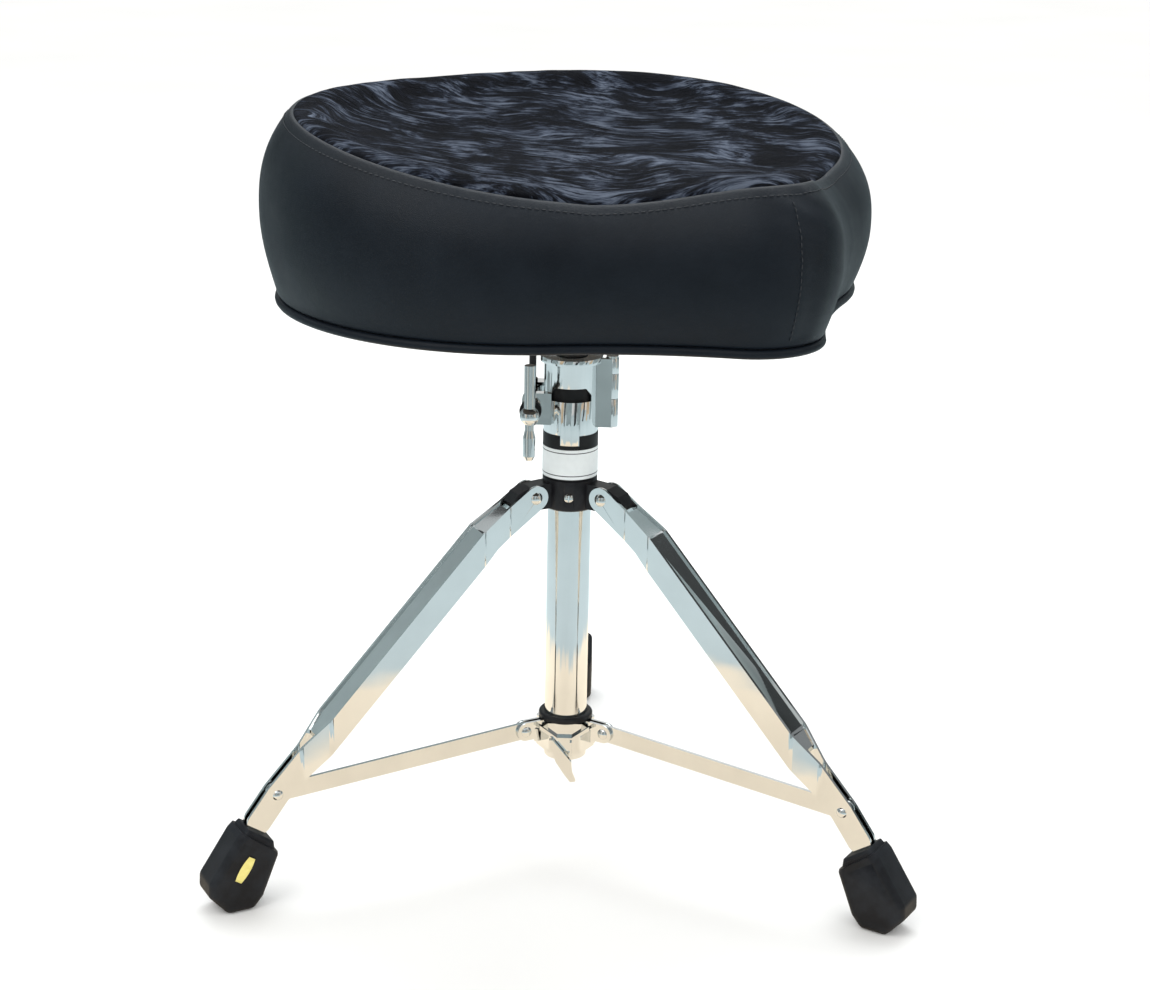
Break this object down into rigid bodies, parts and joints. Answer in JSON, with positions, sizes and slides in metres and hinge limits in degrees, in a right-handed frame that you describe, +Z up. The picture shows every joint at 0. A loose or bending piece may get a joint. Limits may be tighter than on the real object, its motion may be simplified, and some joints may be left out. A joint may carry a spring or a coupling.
{
  "type": "drum throne",
  "caption": "Height-adjustable drummer's stool with a padded saddle-shaped seat on a sliding post in a folding tripod.",
  "frame": {"origin": "centre of the footprint's bounding box, on the floor", "axes": "+Z up along the post, -Y towards the gap between two legs where the clamp's tongue and the T-handle face, +X to the right seen from there"},
  "size_m": [0.4826, 0.4672, 0.5285],
  "materials": {
    "chrome": "bright chrome plate",
    "satin_black": "satin black on a cast hub",
    "black_nylon": "moulded black",
    "label": "pale printed band, plain",
    "rubber": "moulded black rubber",
    "black_screw": "black oxide",
    "plate_steel": "black paint",
    "board": "plywood, dark stained underside",
    "foam": "moulded foam",
    "vinyl": "near-black navy vinyl with a fine grain",
    "velvet": "crushed velvet, dark navy"
  },
  "bodies": {
    "base": {"base_tube": "chrome", "tube_plug": "black_nylon", "hub": "satin_black", "hub_screw": "chrome", "sleeve": "black_nylon", "label_band": "label", "post_bush": "black_nylon", "clamp_front": "chrome", "clamp_rear": "chrome", "hinge_pin": "chrome", "swing_pin": "black_screw", "pivot_pin_left": "chrome", "pivot_pin_right": "chrome", "pivot_pin_rear": "chrome"},
    "post": {"seat_post": "chrome"},
    "seat": {"post_socket": "plate_steel", "socket_screw": "black_screw", "mount_plate": "plate_steel", "plate_bolts": "black_screw", "seat_board": "board", "seat_foam": "foam", "seat_side_cover": "vinyl", "seat_top_cover": "velvet", "seat_piping": "vinyl"},
    "swing_bolt": {"swing_bolt": "chrome", "bolt_washer": "black_nylon"},
    "t_handle": {"t_handle": "chrome"},
    "collar": {"collar": "chrome", "collar_ring": "black_nylon", "collar_spur": "chrome", "collar_rivet_left": "chrome", "collar_rivet_right": "chrome", "collar_rivet_rear": "chrome"},
    "leg_left": {"leg_left": "chrome", "foot_left": "rubber", "leg_rivet_left": "chrome"},
    "brace_left": {"brace_left": "chrome"},
    "leg_right": {"leg_right": "chrome", "foot_right": "rubber", "leg_rivet_right": "chrome"},
    "brace_right": {"brace_right": "chrome"},
    "leg_rear": {"leg_rear": "chrome", "foot_rear": "rubber", "leg_rivet_rear": "chrome"},
    "brace_rear": {"brace_rear": "chrome"}
  },
  "joints": [
    {"name": "height_slide", "type": "slide", "parent": "base", "child": "post", "axis": [0, 0, 1], "range_m": [-0.012, 0.14]},
    {"name": "seat_swivel", "type": "hinge", "parent": "post", "child": "seat", "pos_m": [0, -0.03929, 0.39], "axis": [0, 0, 1], "continuous": true},
    {"name": "bolt_swing", "type": "hinge", "parent": "base", "child": "swing_bolt", "pos_m": [-0.027, -0.03129, 0.322], "axis": [0, 0, -1], "range_deg": [0, 95]},
    {"name": "handle_spin", "type": "hinge", "parent": "swing_bolt", "child": "t_handle", "pos_m": [-0.027, -0.06929, 0.322], "axis": [0, -1, 0], "continuous": true},
    {"name": "leg_fold_left", "type": "hinge", "parent": "base", "child": "leg_left", "pos_m": [-0.02598, -0.05429, 0.2612], "axis": [0.5, -0.866, 0], "range_deg": [0, 35]},
    {"name": "leg_fold_right", "type": "hinge", "parent": "base", "child": "leg_right", "pos_m": [0.02598, -0.05429, 0.2612], "axis": [0.5, 0.866, 0], "range_deg": [0, 35]},
    {"name": "leg_fold_rear", "type": "hinge", "parent": "base", "child": "leg_rear", "pos_m": [0, -0.00929, 0.2612], "axis": [-1, 0, 0], "range_deg": [0, 35]},
    {"name": "collar_slide", "type": "slide", "parent": "base", "child": "collar", "axis": [0, 0, 1], "range_m": [0, 0.0967]},
    {"name": "brace_fold_left", "type": "hinge", "parent": "collar", "child": "brace_left", "pos_m": [-0.02858, -0.05579, 0.0856], "axis": [0.5, -0.866, 0], "range_deg": [0, 72.8]},
    {"name": "brace_fold_right", "type": "hinge", "parent": "collar", "child": "brace_right", "pos_m": [0.02858, -0.05579, 0.0856], "axis": [0.5, 0.866, 0], "range_deg": [0, 72.8]},
    {"name": "brace_fold_rear", "type": "hinge", "parent": "collar", "child": "brace_rear", "pos_m": [0, -0.00629, 0.0856], "axis": [-1, 0, 0], "range_deg": [0, 72.8]}
  ],
  "couplings": [
    {"joint": "leg_fold_right", "follows": "leg_fold_left", "ratio": 1},
    {"joint": "leg_fold_rear", "follows": "leg_fold_left", "ratio": 1},
    {"joint": "collar_slide", "follows": "leg_fold_left", "m_per_rad": 0.15804},
    {"joint": "brace_fold_left", "follows": "leg_fold_left", "ratio": 2.0762},
    {"joint": "brace_fold_right", "follows": "leg_fold_left", "ratio": 2.0762},
    {"joint": "brace_fold_rear", "follows": "leg_fold_left", "ratio": 2.0762}
  ]
}
